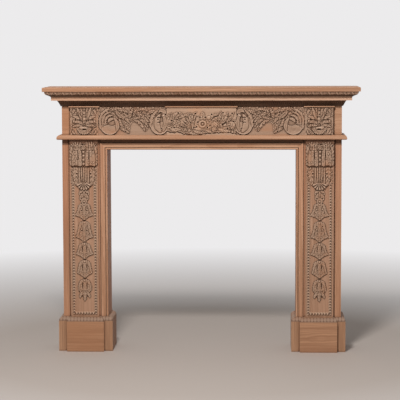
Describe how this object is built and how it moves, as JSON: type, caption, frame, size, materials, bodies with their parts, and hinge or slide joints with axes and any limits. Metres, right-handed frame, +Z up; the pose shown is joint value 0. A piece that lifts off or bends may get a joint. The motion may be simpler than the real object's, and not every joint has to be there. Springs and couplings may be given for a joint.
{
  "type": "fireplace surround",
  "caption": "Free-standing carved pine fireplace surround with a moulded shelf, carved frieze, pilastered legs and plinths round an open hearth.",
  "frame": {"origin": "bottom centre of the bounding box, on the floor under the middle of the shelf", "axes": "+Z up, +X to the viewer's right along the shelf, +Y back towards the wall, front faces -Y"},
  "size_m": [1.52, 0.275, 1.284],
  "materials": {
    "waxed_pine": "satin",
    "carved_pine": "satin",
    "carcass_pine": "matte",
    "steel_fixings": "satin"
  },
  "bodies": {
    "root": {"bed_moulding_front": "waxed_pine", "bed_moulding_left": "waxed_pine", "bed_moulding_right": "waxed_pine", "capital_carving_left": "carved_pine", "capital_carving_right": "carved_pine", "centre_tablet": "carved_pine", "corner_block_left": "carved_pine", "corner_block_right": "carved_pine", "corner_cap_left": "waxed_pine", "corner_cap_right": "waxed_pine", "corona_board": "waxed_pine", "frieze_board": "waxed_pine", "frieze_dowels": "carcass_pine", "frieze_panel_left": "carved_pine", "frieze_panel_right": "carved_pine", "glue_blocks": "carcass_pine", "header_back_rail": "carcass_pine", "header_end_left": "waxed_pine", "header_end_right": "waxed_pine", "header_floor": "carcass_pine", "header_ribs": "carcass_pine", "husk_drop_left": "carved_pine", "husk_drop_right": "carved_pine", "leg_front_left": "waxed_pine", "leg_front_right": "waxed_pine", "leg_inner_side_left": "waxed_pine", "leg_inner_side_right": "waxed_pine", "leg_outer_side_left": "waxed_pine", "leg_outer_side_right": "waxed_pine", "leg_screws": "steel_fixings", "leg_spreaders": "carcass_pine", "leg_top_blocks": "carcass_pine", "lintel_rail": "waxed_pine", "lintel_soffit": "waxed_pine", "mantel_shelf": "waxed_pine", "neck_moulding_front": "waxed_pine", "neck_moulding_left": "waxed_pine", "neck_moulding_right": "waxed_pine", "pilaster_board_left": "waxed_pine", "pilaster_board_right": "waxed_pine", "pilaster_border_left": "carved_pine", "pilaster_border_right": "carved_pine", "plinth_block_left": "waxed_pine", "plinth_block_right": "waxed_pine", "plinth_front_left": "waxed_pine", "plinth_front_right": "waxed_pine", "plinth_inner_side_left": "waxed_pine", "plinth_inner_side_right": "waxed_pine", "plinth_moulding_left": "carved_pine", "plinth_moulding_right": "carved_pine", "plinth_outer_side_left": "waxed_pine", "plinth_outer_side_right": "waxed_pine", "shelf_ovolo_front": "carved_pine", "shelf_ovolo_left": "carved_pine", "shelf_ovolo_right": "carved_pine", "shelf_packing_rails": "carcass_pine", "slip_head": "waxed_pine", "slip_left": "waxed_pine", "slip_right": "waxed_pine", "tablet_cap": "waxed_pine"}
  },
  "joints": []
}
